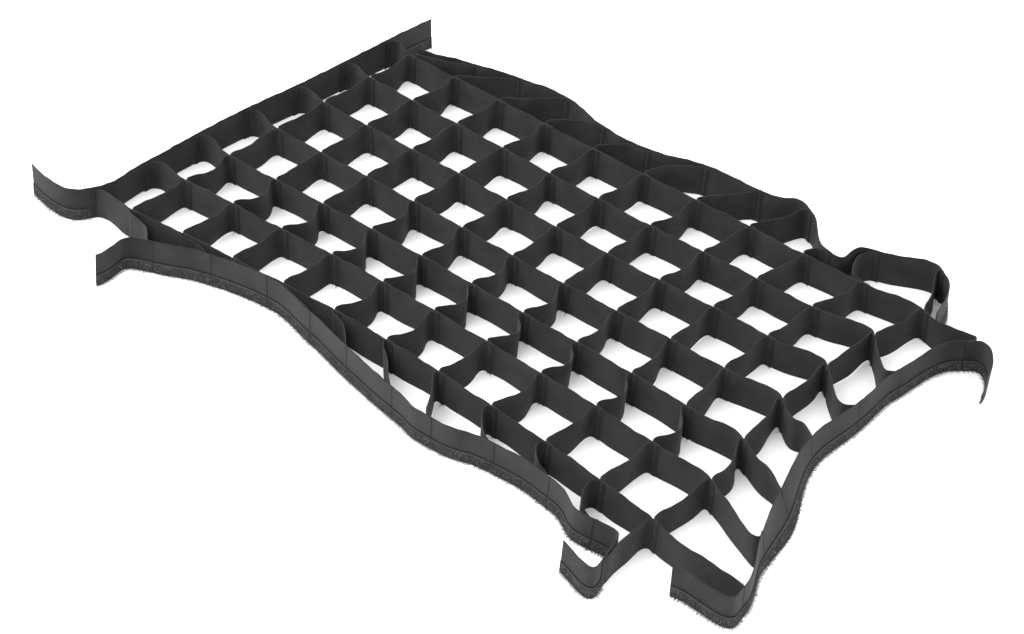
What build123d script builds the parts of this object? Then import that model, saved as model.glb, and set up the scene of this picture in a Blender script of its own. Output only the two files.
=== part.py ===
"""Fabric grid for a photographic softbox, lying relaxed on a flat surface.

Strips of black webbing stand on edge and are sewn to each other as square cells. Long strips
run along X. Short cross webs close the cells between them, each with a tab folded over at both
ends and sewn flat to the strip. Four border bands carry hook tape on their outer faces, and run
one cell past their last seam as loose tails, two at each corner. Three of the tails carry their
tape on the other face.

Millimetres, +X along the long side, +Z up. The origin is under the middle of the grid, on the
surface that it lies on. A place in the plan is a complex number: X is real and Y is imaginary.
"""

from build123d import *
from cmath import phase
from math import ceil, cos, degrees, radians, sin
import os

# ---- cells -------------------------------------------------------------------------------
CELL = 75.0            # pitch of the cells as the grid lies, along X and along Y
COLUMNS = 12           # cells along X
ROWS = 8               # cells along Y

# ---- webbing -----------------------------------------------------------------------------
WEB_TALL = 40.0        # width of the webbing, which stands on edge
WEB_THICK = 1.0        # thickness of the webbing
WEB_SLACK = 2.0        # cloth in a cross web between its tabs, over the length of a cell
WEB_CUT_SPREAD = 1.5   # how unevenly the cross webs are cut
END_SHORT = 5.0        # cloth in a long strip past its last crossing, under the length of a cell
TAB = 9.0              # length of a folded tab
STIFF = 13.0           # length of webbing that a seam keeps straight
FOLD = 28.0            # degrees that a web springs away from its tab

# ---- border bands and hook tape ----------------------------------------------------------
BAND_RAISE = 3.0       # the hook tape reaches this far below the band's webbing
TAPE_TALL = 16.0       # width of the hook tape
TAPE_THICK = 1.5       # backing and hooks together
BEND_OUT = 8.0         # from a band's last seam to the line that its loose tail bends about
BEND_GAP = 0.8         # from that line to the webbing on each side
TAPE_GAP = 2.6         # the same to the hook tape, which stands further out

# ---- stitching ---------------------------------------------------------------------------
THREAD = 0.5           # thickness of a row of thread on the face of the webbing
THREAD_WIDE = 0.9      # width of a row
ROW_APART = 5.0        # between the two rows of a seam
ROW_SHORT = 3.0        # a row of thread stops this far inside each edge of the webbing
TOPSTITCH_UP = 2.5     # from the underside of the row along the hook tape to the tape's top

# ---- fineness of the curves --------------------------------------------------------------
FACET = 9.0            # longest flat in a bend

# How each long strip lies, in cells, from the front: how far its middle stands back, how much
# less its ends do, how far it creeps along X by its end, and its heading at the last crossing.
STRIP_LIE = [
    (0.14, 0.50, 0.08, -14),
    (0.12, 0.28, 0.20, -26),
    (0.00, 0.16, 0.02, -28),
    (-0.03, 0.00, -0.12, -42),
    (0.01, -0.05, -0.10, -45),
    (0.03, -0.12, 0.02, -50),
    (0.05, -0.10, 0.33, -22),
]

# How each long strip comes to the right-hand band, from the front: 1 for a tab that is folded
# towards the back or -1 for one towards the front, and the degrees that the strip springs away
# from its tab. A strip whose tab is folded back runs straight to a bend close to the band.
STRIP_ENDS = [(-1, 72), (1, -72), (-1, 42), (-1, 46), (1, -45), (1, -38), (-1, 28)]
TAB_CREEP = 0.05       # the sewn tab lies this much of a cell past the fold

# Where the seams of each band lie, in cells, and the band's heading in degrees where it turns
# sharply. Elsewhere the heading follows from the seams on each side.
FRONT_SEAMS = [
    (1.88, 0.42), (2.75, 0.80), (3.74, 1.00, 5), (4.80, 0.82), (5.74, 0.60), (6.80, 0.40),
    (7.63, 0.30), (8.59, 0.50), (9.56, 0.48), (10.50, 0.25, 8), (11.04, -0.20, -75),
]
BACK_SEAMS = [
    (1.98, 7.58), (2.82, 7.78), (3.78, 7.89), (4.75, 7.64), (5.70, 7.62), (6.67, 7.87),
    (7.72, 7.91), (8.62, 8.03, -30), (9.42, 7.36, -15), (9.97, 7.87, 14), (10.98, 8.12, -35),
]
LEFT_SEAMS = [
    (0.16, 0.74, 64), (0.20, 1.82), (0.20, 2.90), (0.24, 3.96), (0.32, 5.02), (0.37, 6.08),
    (0.42, 7.14),
]
RIGHT_SEAMS = [
    (12.71, 0.58, 98), (12.28, 1.58), (11.94, 2.50), (11.70, 3.56), (11.76, 4.65),
    (11.77, 5.70), (12.12, 6.90, 42),
]

# Where each loose tail ends, in cells, and its heading there in degrees. The last number is
# the length of the tail past its seam, in cells.
TAILS = {
    "front_band_left_tail": (1.52, -0.40, -101, 1.0),
    "front_band_right_tail": (10.47, -0.34, 168, 0.85),
    "back_band_left_tail": (1.00, 7.30, 190, 1.0),
    "back_band_right_tail": (11.46, 7.16, -78, 1.0),
    "left_band_front_tail": (-1.00, 0.54, 166, 1.2),
    "left_band_back_tail": (0.50, 8.20, 86, 1.0),
    "right_band_front_tail": (11.79, 0.28, 203, 1.0),
    "right_band_back_tail": (12.75, 6.42, -86, 1.0),
}
# These tails carry their tape on the face that is the inner one along the band.
TAPED_INSIDE = ("front_band_right_tail", "left_band_front_tail", "left_band_back_tail")


# ---- plan geometry -----------------------------------------------------------------------
def unit(step):
    """The direction of a step, one long."""
    return step / abs(step)


def heading(degrees):
    """The direction that many degrees from +X, turning towards +Y."""
    return complex(cos(radians(degrees)), sin(radians(degrees)))


def left_of(direction):
    """The direction a quarter turn to the left."""
    return direction * 1j


def length(route):
    """Length of a route of straight runs."""
    return sum(abs(q - p) for p, q in zip(route, route[1:]))


def bezier(start, leave, arrive, end):
    """Points of the cubic Bezier curve with these four control points."""
    runs = max(3, ceil(abs(end - start) / FACET))
    points = []
    for k in range(runs + 1):
        t = k / runs
        s = 1 - t
        points.append(s**3 * start + 3 * s * s * t * leave + 3 * s * t * t * arrive + t**3 * end)
    return points


def slacken(shape, cloth, low, high):
    """shape(amount) for the amount between low and high that makes the route as long as the cloth."""
    for _ in range(20):
        middle = (low + high) / 2
        if length(shape(middle)) < cloth:
            low = middle
        else:
            high = middle
    return shape(low)


def arc(start, leaving, end, arriving, cloth, most=0.5):
    """A single bend. Its two handles grow until it uses up the cloth, to most of its length."""
    def shape(handle):
        return bezier(start, start + leaving * handle, end - arriving * handle, end)

    return slacken(shape, cloth, 0.3 * abs(end - start), most * cloth)


def elbow(start, leaving, end, arriving):
    """A single tight bend, where the straight runs from both ends would meet."""
    step = end - start
    run = (step.conjugate() * arriving).imag / (leaving.conjugate() * arriving).imag
    corner = start + leaving * run
    return bezier(start, corner, corner, end)


def bow(start, leaving, end, arriving, cloth, side, most):
    """Two bends through a middle that stands aside until they use up the cloth.

    side is 1 for a middle on the left of the straight line, -1 for one on its right.
    """
    along = unit(end - start)
    span = abs(end - start)

    def shape(aside):
        middle = (start + end) / 2 + side * aside * left_of(along)
        fold = min(7 + 0.4 * aside, 0.45 * span)
        first = bezier(start, start + leaving * fold, middle - along * span / 4, middle)
        second = bezier(middle, middle + along * span / 4, end - arriving * fold, end)
        return first + second[1:]

    return slacken(shape, cloth, 0.5, most)


def ribbon(route, inside, outside):
    """Closed outline of a ribbon whose faces lie these distances to the left of its route."""
    runs = [unit(q - p) for p, q in zip(route, route[1:])]
    normals = []
    for before, after in zip(runs[:1] + runs, runs + runs[-1:]):
        middle = unit(before + after)
        lean = (middle * before.conjugate()).real
        normals.append(left_of(middle) / lean)
    near = [p + n * inside for p, n in zip(route, normals)]
    far = [p + n * outside for p, n in zip(route, normals)]
    return near + far[::-1]


# ---- where everything lies ---------------------------------------------------------------
def seam_line(seams):
    """Place and heading of each seam along a band."""
    places = [CELL * complex(seam[0], seam[1]) for seam in seams]
    line = []
    for k, seam in enumerate(seams):
        if len(seam) > 2:
            direction = heading(seam[2])
        else:
            direction = unit(places[min(k + 1, len(places) - 1)] - places[max(k - 1, 0)])
        line.append((places[k], direction))
    return line


def strip_crossings(row):
    """Place and heading of a long strip at each of its crossings, from the left."""
    middle, drop, creep, last = STRIP_LIE[row - 1]
    half = COLUMNS / 2
    places = []
    for column in range(1, COLUMNS):
        along = column + TAB_CREEP + creep * (column / COLUMNS) ** 2
        back = row + middle - drop * ((column - half) / half) ** 2
        places.append(CELL * complex(along, back))
    line = []
    for k, place in enumerate(places):
        if k == len(places) - 1:
            direction = heading(last)
        else:
            direction = unit(places[k + 1] - places[max(k - 1, 0)])
        line.append((place, direction))
    return line


front = seam_line(FRONT_SEAMS)
back = seam_line(BACK_SEAMS)
left = seam_line(LEFT_SEAMS)
right = seam_line(RIGHT_SEAMS)
crossings = {row: strip_crossings(row) for row in range(1, ROWS)}


def strip_route(row):
    """Centre line of a long strip, from its tab on the left band to its tab on the right band."""
    line = crossings[row]
    seam, along = left[row - 1]
    seam -= left_of(along) * WEB_THICK
    fold = seam + along * TAB / 2
    place, direction = line[0]
    start = place - direction * STIFF / 2
    route = [seam - along * TAB / 2] + arc(fold, along * heading(-FOLD), start, direction, CELL, 0.25)
    for (place, direction), (ahead, turned) in zip(line, line[1:]):
        leave = place + direction * STIFF / 2
        reach = ahead - turned * STIFF / 2
        route += arc(leave, direction, reach, turned, CELL - STIFF)
    place, direction = line[-1]
    leave = place + direction * STIFF / 2
    seam, along = right[row - 1]
    seam += left_of(along) * WEB_THICK
    turn, spring = STRIP_ENDS[row - 1]
    along *= turn
    fold = seam - along * TAB / 2
    arriving = along * heading(spring)
    if turn == 1:
        route += elbow(leave, direction, fold, arriving)
    else:
        route += arc(leave, direction, fold, arriving, CELL - END_SHORT, 0.6)
    return route + [seam + along * TAB / 2]


def web_route(column, row):
    """Centre line of the cross web behind one row of crossings, with its two tabs."""
    place, along = front[column - 1] if row == 0 else crossings[row][column - 1]
    ahead, beyond = back[column - 1] if row == ROWS - 1 else crossings[row + 1][column - 1]
    place += left_of(along) * WEB_THICK
    ahead -= left_of(beyond) * WEB_THICK
    start = place - along * TAB / 2
    end = ahead - beyond * TAB / 2
    leaving = -along * heading(-FOLD)
    arriving = beyond * heading(FOLD)
    cloth = CELL + WEB_SLACK + WEB_CUT_SPREAD * sin(2.3 * column + 1.7 * row)
    side, most = -1, 30
    if row == 0:
        # The front row of cells lies squashed, so its webs have little room to bow.
        room = (end - start).imag
        most = 0.25 * room
        side = 1
        if column < COLUMNS / 2:
            most = 0.12 * room
            side = -1
        if column == COLUMNS - 1:
            most = 0.06 * room
    if row == ROWS - 1:
        side = 1
        most = 0.30 * (end - start).imag
    bend = bow(start, leaving, end, arriving, cloth, side, most)
    return [place + along * TAB / 2] + bend + [ahead + beyond * TAB / 2]


def band_route(line):
    """Centre line of a border band, to a little past its first seam and its last."""
    place, along = line[0]
    route = [place - along * (BEND_OUT - BEND_GAP)]
    for (place, along), (ahead, turned) in zip(line, line[1:]):
        leave = place + along * STIFF / 2
        reach = ahead - turned * STIFF / 2
        route += arc(leave, along, reach, turned, CELL - STIFF)
    place, along = line[-1]
    return route + [place + along * (BEND_OUT - BEND_GAP)]


def tail_route(name):
    """Centre line of a loose tail, from the end of its band to its free end."""
    band, end = name.split("_band_")
    line = {"front": front, "back": back, "left": left, "right": right}[band]
    if end in ("left_tail", "front_tail"):
        place, along = line[0]
        along = -along
    else:
        place, along = line[-1]
    across, deep, arriving, cells = TAILS[name]
    start = place + along * (BEND_OUT + BEND_GAP)
    end = CELL * complex(across, deep)
    straight = start + along * TAPE_GAP
    return [start] + arc(straight, along, end, heading(arriving), cells * CELL - BEND_OUT, 0.6)


def outer_side(name):
    """1 where a band's taped face is on the left of its route, -1 where it is on the right."""
    starts_at_last_seam = name.endswith(("right_tail", "back_tail", "_band"))
    outer_on_left = name.startswith(("back", "left"))
    side = 1 if starts_at_last_seam == outer_on_left else -1
    return -side if name in TAPED_INSIDE else side


def trim(route, off):
    """The route without its first off millimetres."""
    return [route[0] + unit(route[1] - route[0]) * off] + route[1:]


bands = {
    "front_band": band_route(front),
    "back_band": band_route(back),
    "left_band": band_route(left),
    "right_band": band_route(right),
}
tails = {name: tail_route(name) for name in TAILS}

# The plan is moved so that the middle of its bounding box is the origin.
edge = []
for name, route in (bands | tails).items():
    side = outer_side(name)
    edge += ribbon(route, -side * WEB_THICK / 2, side * (WEB_THICK / 2 + TAPE_THICK))
edge_x = [place.real for place in edge]
edge_y = [place.imag for place in edge]
CENTRE = complex(min(edge_x) + max(edge_x), min(edge_y) + max(edge_y)) / 2


def xy(places):
    """Plan places as points about the origin."""
    return [(place.real - CENTRE.real, place.imag - CENTRE.imag) for place in places]


def at(place, direction):
    """Location at a plan place, with its X axis along a direction."""
    return Location((*xy([place])[0], 0), (0, 0, degrees(phase(direction))))


os.makedirs("parts", exist_ok=True)


def save(solid, name):
    """Labels a finished piece and writes it."""
    solid.label = name
    export_step(solid, f"parts/{name}.step")


# ---- long strips -------------------------------------------------------------------------
HALF = WEB_THICK / 2
for row in range(1, ROWS):
    with BuildPart() as long_strip:
        with BuildSketch():
            with BuildLine():
                Polyline(*xy(ribbon(strip_route(row), -HALF, HALF)), close=True)
            make_face()
        extrude(amount=WEB_TALL)
    save(long_strip.part, f"long_strip_{row}")

# ---- cross webs, one node for each line of them -------------------------------------------
for column in range(1, COLUMNS):
    with BuildPart() as cross_webs:
        with BuildSketch():
            for row in range(ROWS):
                with BuildLine():
                    Polyline(*xy(ribbon(web_route(column, row), -HALF, HALF)), close=True)
                make_face()
        extrude(amount=WEB_TALL)
    save(cross_webs.part, f"cross_webs_{column}")

# ---- border bands, loose tails and their hook tape ----------------------------------------
for name, route in (bands | tails).items():
    with BuildPart() as band:
        with BuildSketch(Plane.XY.offset(BAND_RAISE)):
            with BuildLine():
                Polyline(*xy(ribbon(route, -HALF, HALF)), close=True)
            make_face()
        extrude(amount=WEB_TALL)
    save(band.part, name)

    face = outer_side(name)
    taped = trim(route, TAPE_GAP - BEND_GAP)
    if name in bands:
        taped = trim(taped[::-1], TAPE_GAP - BEND_GAP)[::-1]
    with BuildPart() as hook_tape:
        with BuildSketch():
            with BuildLine():
                Polyline(*xy(ribbon(taped, face * HALF, face * (HALF + TAPE_THICK))), close=True)
            make_face()
        extrude(amount=TAPE_TALL)
    save(hook_tape.part, f"{name}_hook_tape")


# ---- seams -------------------------------------------------------------------------------
def thread_rows(place, along, offset, steps):
    """Sketches rows of thread on a face, which lies offset to the left of a seam's centre line.

    The steps say where the rows lie along the face, from the middle of the seam.
    """
    for step in steps:
        with Locations(at(place + along * step + left_of(along) * offset, along)):
            Rectangle(THREAD_WIDE, THREAD)


# At a crossing the thread shows on both tabs, one on each side of the strip.
TAB_FACE = 1.5 * WEB_THICK + THREAD / 2
TWO_ROWS = (-ROW_APART / 2, ROW_APART / 2)
for row in range(1, ROWS):
    with BuildPart() as stitching:
        with BuildSketch(Plane.XY.offset(ROW_SHORT)):
            for place, along in crossings[row]:
                thread_rows(place, along, -TAB_FACE, TWO_ROWS)
                thread_rows(place, along, TAB_FACE, TWO_ROWS)
        extrude(amount=WEB_TALL - 2 * ROW_SHORT)
    save(stitching.part, f"long_strip_{row}_stitching")

# On a band two rows show on the tab inside. One row shows outside, above the hook tape and on it.
seam_lines = {"front_band": front, "back_band": back, "left_band": left, "right_band": right}
BAND_FACE = HALF + THREAD / 2
TAPE_FACE = HALF + TAPE_THICK
for name, line in seam_lines.items():
    side = outer_side(name)
    taped = trim(trim(bands[name], TAPE_GAP)[::-1], TAPE_GAP)[::-1]
    with BuildPart() as stitching:
        with BuildSketch(Plane.XY.offset(BAND_RAISE + ROW_SHORT)):
            for place, along in line:
                thread_rows(place, along, -side * TAB_FACE, TWO_ROWS)
        extrude(amount=WEB_TALL - BAND_RAISE - 2 * ROW_SHORT)
        with BuildSketch(Plane.XY.offset(TAPE_TALL + ROW_SHORT)):
            for place, along in line:
                thread_rows(place, along, side * BAND_FACE, (0,))
        extrude(amount=BAND_RAISE + WEB_TALL - TAPE_TALL - 2 * ROW_SHORT)
        with BuildSketch(Plane.XY.offset(ROW_SHORT)):
            for place, along in line:
                thread_rows(place, along, side * (TAPE_FACE + THREAD / 2), (0,))
        extrude(amount=TAPE_TALL - TOPSTITCH_UP - 2 * ROW_SHORT)
        with BuildSketch(Plane.XY.offset(TAPE_TALL - TOPSTITCH_UP)):
            with BuildLine():
                Polyline(*xy(ribbon(taped, side * TAPE_FACE, side * (TAPE_FACE + THREAD))), close=True)
            make_face()
        extrude(amount=THREAD_WIDE)
    save(stitching.part, f"{name}_stitching")
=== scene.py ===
from math import pi, radians

import bpy
import numpy as np
from bpy.props import FloatProperty, FloatVectorProperty, IntProperty, PointerProperty
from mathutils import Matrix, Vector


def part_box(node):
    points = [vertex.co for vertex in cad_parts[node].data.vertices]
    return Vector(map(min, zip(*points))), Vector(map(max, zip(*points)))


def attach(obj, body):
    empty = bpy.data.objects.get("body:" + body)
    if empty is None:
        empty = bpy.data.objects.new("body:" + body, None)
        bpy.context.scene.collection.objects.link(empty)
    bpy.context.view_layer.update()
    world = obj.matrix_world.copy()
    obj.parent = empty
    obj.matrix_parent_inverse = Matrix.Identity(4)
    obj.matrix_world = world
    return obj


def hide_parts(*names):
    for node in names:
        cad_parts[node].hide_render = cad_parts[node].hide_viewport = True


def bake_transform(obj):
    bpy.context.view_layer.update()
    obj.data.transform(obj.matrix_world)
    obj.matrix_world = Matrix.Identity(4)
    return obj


# Fabric grid for a photographic softbox. Black twill webbing stands on edge and is sewn into
# square cells, and hook tape runs along the lower outer edge of the border.
# Plan places are complex numbers in millimetres, X real and Y imaginary, until a mesh is made.

bl_info = {
    "name": "Softbox fabric grid",
    "version": (1, 0, 0),
    "blender": (4, 5, 0),
    "location": "3D View > Sidebar > Grid",
    "description": "Webbing, hook tape and sewing of a softbox's fabric grid, around its packed frame",
    "category": "Object",
}

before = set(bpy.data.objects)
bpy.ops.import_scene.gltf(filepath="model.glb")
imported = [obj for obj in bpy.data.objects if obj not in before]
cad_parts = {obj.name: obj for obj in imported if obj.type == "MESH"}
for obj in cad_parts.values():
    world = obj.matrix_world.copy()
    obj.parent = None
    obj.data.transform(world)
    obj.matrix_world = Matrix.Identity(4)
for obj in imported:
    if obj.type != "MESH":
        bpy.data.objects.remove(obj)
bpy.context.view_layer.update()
MM = 0.001


def height_of(node):
    """Lowest and highest level of a node of the frame, in millimetres."""
    low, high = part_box(node)
    return low[2] / MM, high[2] / MM


STRIP_LOW, STRIP_HIGH = height_of("long_strip_4")
BAND_LOW, BAND_HIGH = height_of("front_band")
TAPE_LOW, TAPE_HIGH = height_of("front_band_hook_tape")


def srgb(code):
    """Linear red, green and blue of an sRGB hex code."""
    part = np.array([int(code[k:k + 2], 16) for k in (0, 2, 4)]) / 255
    return tuple(np.where(part <= 0.04045, part / 12.92, ((part + 0.055) / 1.055) ** 2.4))


# ---- sizes and colours that a user would change -------------------------------------------
def length(name, description, millimetres):
    """A length property whose default is in millimetres."""
    return FloatProperty(name=name, description=description, default=millimetres * MM, min=0.0,
                         unit="LENGTH", subtype="DISTANCE", precision=4)


def colour(name, description, code):
    """A colour property whose default is an sRGB hex code."""
    return FloatVectorProperty(name=name, description=description, default=srgb(code),
                               subtype="COLOR", size=3, min=0.0, max=1.0)


class GRID_PG_webbing(bpy.types.PropertyGroup):
    """The webbing and how limply it stands."""
    thick: length("Thickness", "Thickness of the webbing", 1.0)
    rib: length("Rib spacing", "From one diagonal rib of the twill to the next", 1.9)
    lean: length("Lean", "How far the upper edge leans away from the lower one", 2.6)
    splay: length("Splay", "How far the right-hand band's lower edge slides out", 26.0)
    ripple: length("Ripple", "How far a free edge waves from side to side", 1.1)
    lift: length("Lift", "How far the webbing stands off the surface at most", 1.2)
    face: colour("Face", "The ribs of the webbing, where it is worn a little dull", "2c2c2e")
    groove: colour("Groove", "Between the ribs of the webbing", "0a0a0c")
    lint: colour("Lint", "Dust and lint caught in the weave", "4a4a4c")


class GRID_PG_tape(bpy.types.PropertyGroup):
    """The hook tape."""
    thick: length("Backing", "Thickness of the tape's woven backing", 0.7)
    hook: length("Hook", "How far a hook stands off the backing", 1.2)
    fringe: length("Fringe", "How far the lowest hooks stick out", 2.7)
    pitch: length("Hook spacing", "From one hook to the next", 1.9)
    backing: colour("Backing", "The tape's woven backing", "363638")
    hooks: colour("Hooks", "The tips of the hooks", "6e6e70")


class GRID_PG_sewing(bpy.types.PropertyGroup):
    """Seams, their thread and its loose ends."""
    stitch: length("Stitch", "From one stitch to the next", 3.2)
    thick: length("Thread", "Thickness of the thread", 0.62)
    row: length("Row", "From the middle of a seam to each of its two rows", 2.5)
    tips: IntProperty(name="Loose ends", description="Cut ends of thread left on each crossing",
                      default=3, min=0, max=8)
    thread: colour("Thread", "Black polyester thread", "141416")


class GRID_PG_stage(bpy.types.PropertyGroup):
    """Floor and studio light."""
    dome: FloatProperty(name="Dome", description="Strength of the white dome", default=2.1, min=0.0)
    key: FloatProperty(name="Key", description="Power of the overhead light", default=60.0,
                       min=0.0, unit="POWER", subtype="POWER")
    floor: colour("Floor", "White paper under the grid", "f4f4f4")


# ---- how the grid lies, in cells, the same as in the frame ---------------------------------
CELL, COLUMNS, ROWS = 75.0, 12, 8
WEB_CUT, WEB_CUT_SPREAD, END_CUT = 77.0, 1.5, 70.0
TAB, STIFF, FOLD, TAB_CREEP = 9.0, 13.0, 28.0, 0.05
BEND_OUT, BEND_GAP, TAPE_GAP = 8.0, 0.8, 2.6
CLOTH = 1.0
# Of each long strip: how far its middle stands back, how much less its ends do, how far it
# creeps along X by its end, and its heading at the last crossing.
STRIP_LIE = [
    (0.14, 0.50, 0.08, -14), (0.12, 0.28, 0.20, -26), (0.00, 0.16, 0.02, -28),
    (-0.03, 0.00, -0.12, -42), (0.01, -0.05, -0.10, -45), (0.03, -0.12, 0.02, -50),
    (0.05, -0.10, 0.33, -22),
]
# Of each long strip's end at the right-hand band: 1 for a tab folded towards the back or -1
# towards the front, and the degrees that the strip springs away from its tab.
STRIP_ENDS = [(-1, 72), (1, -72), (-1, 42), (-1, 46), (1, -45), (1, -38), (-1, 28)]
# Of each band: where its seams lie, and its heading in degrees where it turns sharply.
SEAMS = {
    "front": [
        (1.88, 0.42), (2.75, 0.80), (3.74, 1.00, 5), (4.80, 0.82), (5.74, 0.60), (6.80, 0.40),
        (7.63, 0.30), (8.59, 0.50), (9.56, 0.48), (10.50, 0.25, 8), (11.04, -0.20, -75)],
    "back": [
        (1.98, 7.58), (2.82, 7.78), (3.78, 7.89), (4.75, 7.64), (5.70, 7.62), (6.67, 7.87),
        (7.72, 7.91), (8.62, 8.03, -30), (9.42, 7.36, -15), (9.97, 7.87, 14), (10.98, 8.12, -35)],
    "left": [
        (0.16, 0.74, 64), (0.20, 1.82), (0.20, 2.90), (0.24, 3.96), (0.32, 5.02), (0.37, 6.08),
        (0.42, 7.14)],
    "right": [
        (12.71, 0.58, 98), (12.28, 1.58), (11.94, 2.50), (11.70, 3.56), (11.76, 4.65),
        (11.77, 5.70), (12.12, 6.90, 42)],
}
# Of each loose tail: where it ends, its heading there, and its length past its seam in cells.
TAILS = {
    "front_band_left_tail": (1.52, -0.40, -101, 1.0),
    "front_band_right_tail": (10.47, -0.34, 168, 0.85),
    "back_band_left_tail": (1.00, 7.30, 190, 1.0),
    "back_band_right_tail": (11.46, 7.16, -78, 1.0),
    "left_band_front_tail": (-1.00, 0.54, 166, 1.2),
    "left_band_back_tail": (0.50, 8.20, 86, 1.0),
    "right_band_front_tail": (11.79, 0.28, 203, 1.0),
    "right_band_back_tail": (12.75, 6.42, -86, 1.0),
}
TAPED_INSIDE = ("front_band_right_tail", "left_band_front_tail", "left_band_back_tail")
BANDS = [f"{band}_band" for band in SEAMS]


def unit(step):
    """The direction of a step, one long."""
    return step / abs(step)


def heading(degrees):
    """The direction that many degrees from +X, turning towards +Y."""
    return np.exp(1j * radians(degrees))


def run_length(route):
    """Length of a route."""
    return np.abs(np.diff(route)).sum()


def bezier(start, leave, arrive, end):
    """Cubic curve: the four control points weighed by s cubed, 3 s s t, 3 s t t and t cubed."""
    t = np.linspace(0, 1, 40)
    s = 1 - t
    return s**3 * start + 3 * s * s * t * leave + 3 * s * t * t * arrive + t**3 * end


def slacken(shape, cloth, low, high):
    """shape(amount) for the amount between low and high that uses up the cloth."""
    for _ in range(18):
        middle = (low + high) / 2
        if run_length(shape(middle)) < cloth:
            low = middle
        else:
            high = middle
    return shape(low)


def arc(start, leaving, end, arriving, cloth, most=0.5):
    """A single bend whose two handles grow until it uses up the cloth."""
    def shape(handle):
        return bezier(start, start + leaving * handle, end - arriving * handle, end)

    return slacken(shape, cloth, 0.3 * abs(end - start), most * cloth)


def elbow(start, leaving, end, arriving):
    """A single tight bend, where the straight runs from both ends would meet."""
    run = ((end - start).conjugate() * arriving).imag / (leaving.conjugate() * arriving).imag
    corner = start + leaving * run
    return bezier(start, corner, corner, end)


def bow(start, leaving, end, arriving, cloth, side, most):
    """Two bends through a middle that stands aside until they use up the cloth."""
    along = unit(end - start)
    span = abs(end - start)

    def shape(aside):
        middle = (start + end) / 2 + side * aside * along * 1j
        fold = min(7 + 0.4 * aside, 0.45 * span)
        first = bezier(start, start + leaving * fold, middle - along * span / 4, middle)
        second = bezier(middle, middle + along * span / 4, end - arriving * fold, end)
        return np.concatenate((first, second[1:]))

    return slacken(shape, cloth, 0.5, most)


def seam_line(seams):
    """Place and heading of each seam along a band."""
    places = [CELL * complex(seam[0], seam[1]) for seam in seams]
    last = len(places) - 1
    line = []
    for k, seam in enumerate(seams):
        chord = unit(places[min(k + 1, last)] - places[max(k - 1, 0)])
        line.append((places[k], heading(seam[2]) if len(seam) > 2 else chord))
    return line


def strip_crossings(row):
    """Place and heading of a long strip at each of its crossings: a shallow parabola."""
    middle, drop, creep, last = STRIP_LIE[row - 1]
    column = np.arange(1, COLUMNS)
    along = column + TAB_CREEP + creep * (column / COLUMNS) ** 2
    back = row + middle - drop * (2 * column / COLUMNS - 1) ** 2
    places = CELL * (along + 1j * back)
    chords = np.concatenate(([places[1] - places[0]], places[2:] - places[:-2]))
    return list(zip(places, [*(chords / np.abs(chords)), heading(last)]))


BAND_LINE = {band: seam_line(seams) for band, seams in SEAMS.items()}
CROSSINGS = {row: strip_crossings(row) for row in range(1, ROWS)}


def through(line):
    """Route from the first seam of a line to its last, with one cell of cloth between seams."""
    parts = []
    for (place, along), (ahead, turned) in zip(line, line[1:]):
        parts.append(arc(place + along * STIFF / 2, along, ahead - turned * STIFF / 2, turned,
                         CELL - STIFF))
    return np.concatenate(parts)


def strip_route(row):
    """Centre line of a long strip, from its tab on the left band to its tab on the right band."""
    line = CROSSINGS[row]
    seam, along = BAND_LINE["left"][row - 1]
    seam = seam - along * 1j * CLOTH
    place, direction = line[0]
    west = arc(seam + along * TAB / 2, along * heading(-FOLD), place - direction * STIFF / 2,
               direction, CELL, 0.25)
    first = seam - along * TAB / 2
    place, direction = line[-1]
    seam, along = BAND_LINE["right"][row - 1]
    seam = seam + along * 1j * CLOTH
    turn, spring = STRIP_ENDS[row - 1]
    along = turn * along
    bend = (place + direction * STIFF / 2, direction, seam - along * TAB / 2,
            along * heading(spring))
    east = elbow(*bend) if turn == 1 else arc(*bend, END_CUT, 0.6)
    return np.concatenate(([first], west, through(line), east, [seam + along * TAB / 2]))


def web_ends(column, row):
    """Place and heading of a cross web's first and last seam."""
    first = BAND_LINE["front"] if row == 0 else CROSSINGS[row]
    last = BAND_LINE["back"] if row == ROWS - 1 else CROSSINGS[row + 1]
    place, along = first[column - 1]
    ahead, beyond = last[column - 1]
    return (place + along * 1j * CLOTH, along), (ahead - beyond * 1j * CLOTH, beyond)


def web_route(column, row):
    """Centre line of the cross web behind one row of crossings, with its two tabs."""
    (place, along), (ahead, beyond) = web_ends(column, row)
    start, end = place - along * TAB / 2, ahead - beyond * TAB / 2
    cloth = WEB_CUT + WEB_CUT_SPREAD * np.sin(2.3 * column + 1.7 * row)
    side, most = -1, 30
    if row == 0:
        room = (end - start).imag
        side, most = (-1, 0.12 * room) if column < COLUMNS / 2 else (1, 0.25 * room)
        if column == COLUMNS - 1:
            most = 0.06 * room
    if row == ROWS - 1:
        side, most = 1, 0.30 * (end - start).imag
    bend = bow(start, -along * heading(-FOLD), end, beyond * heading(FOLD), cloth, side, most)
    return np.concatenate(([place + along * TAB / 2], bend, [ahead + beyond * TAB / 2]))


def tail_line(name):
    """Last seam of a band on the side of one of its tails, with the heading out of the band."""
    band, end = name.split("_band_")
    if end in ("left_tail", "front_tail"):
        place, along = BAND_LINE[band][0]
        return place, -along
    return BAND_LINE[band][-1]


def tail_route(name):
    """Centre line of a loose tail, from its band's last seam to its free end."""
    place, along = tail_line(name)
    across, deep, arriving, cells = TAILS[name]
    start = place + along * (BEND_OUT + TAPE_GAP + BEND_GAP)
    bend = arc(start, along, CELL * complex(across, deep), heading(arriving),
               cells * CELL - BEND_OUT, 0.6)
    return np.concatenate(([place], bend))


def outer_side(name):
    """1 where a band's taped face is on the left of its route, -1 where it is on the right."""
    onward = name.endswith(("right_tail", "back_tail", "_band"))
    side = 1 if onward == name.startswith(("back", "left")) else -1
    return -side if name in TAPED_INSIDE else side


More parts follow.
